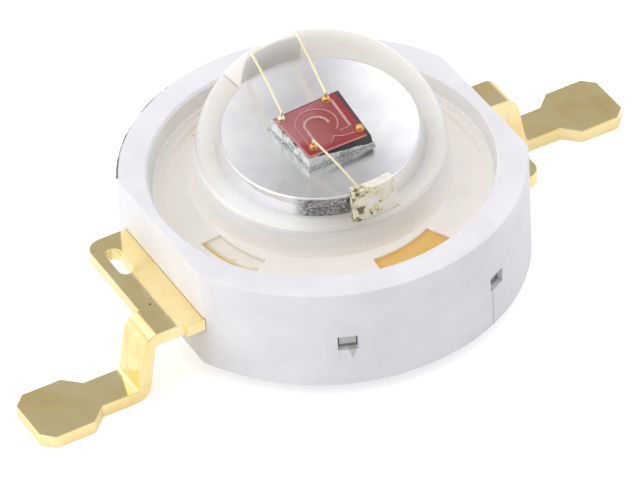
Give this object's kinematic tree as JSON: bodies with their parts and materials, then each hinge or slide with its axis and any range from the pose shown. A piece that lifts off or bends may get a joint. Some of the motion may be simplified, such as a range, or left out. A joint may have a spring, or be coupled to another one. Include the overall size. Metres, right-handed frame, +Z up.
{
  "type": "high power led",
  "caption": "Round white surface-mount light-emitting diode with a clear domed lens, gold gull-wing leads and a flat heat slug underneath.",
  "frame": {"origin": "under the middle of the heat slug, level with the undersides of the feet", "axes": "+X along the leads, away from the slotted lead; +Z up through the dome"},
  "size_m": [0.0144, 0.008, 0.0052],
  "materials": {
    "white_moulding": "satin white moulding",
    "silver_plate": "bright silver plate on copper",
    "gold_plate": "gold plate on copper alloy",
    "silver_adhesive": "grey silver-filled adhesive",
    "dark_semiconductor": "sawn dark side",
    "red_semiconductor": "smooth dark red",
    "pale_metal": "thin pale metal film",
    "bond_gold": "bare gold",
    "clear_gel": "clear soft silicone",
    "clear_lens": "clear polished moulding"
  },
  "bodies": {
    "root": {"housing": "white_moulding", "heat_slug": "silver_plate", "lead_slotted": "gold_plate", "lead_plain": "gold_plate", "die_attach": "silver_adhesive", "chip_substrate": "dark_semiconductor", "emitter_layer": "red_semiconductor", "electrode_spiral": "pale_metal", "electrode_edge": "pale_metal", "electrode_branch": "pale_metal", "bond_pad_left": "bond_gold", "bond_pad_top": "bond_gold", "bond_pad_right": "bond_gold", "bond_pad_front": "bond_gold", "bond_wire_left": "bond_gold", "bond_wire_top": "bond_gold", "bond_wire_front": "bond_gold", "bond_ball_right": "bond_gold", "gel": "clear_gel", "lens": "clear_lens"}
  },
  "joints": []
}
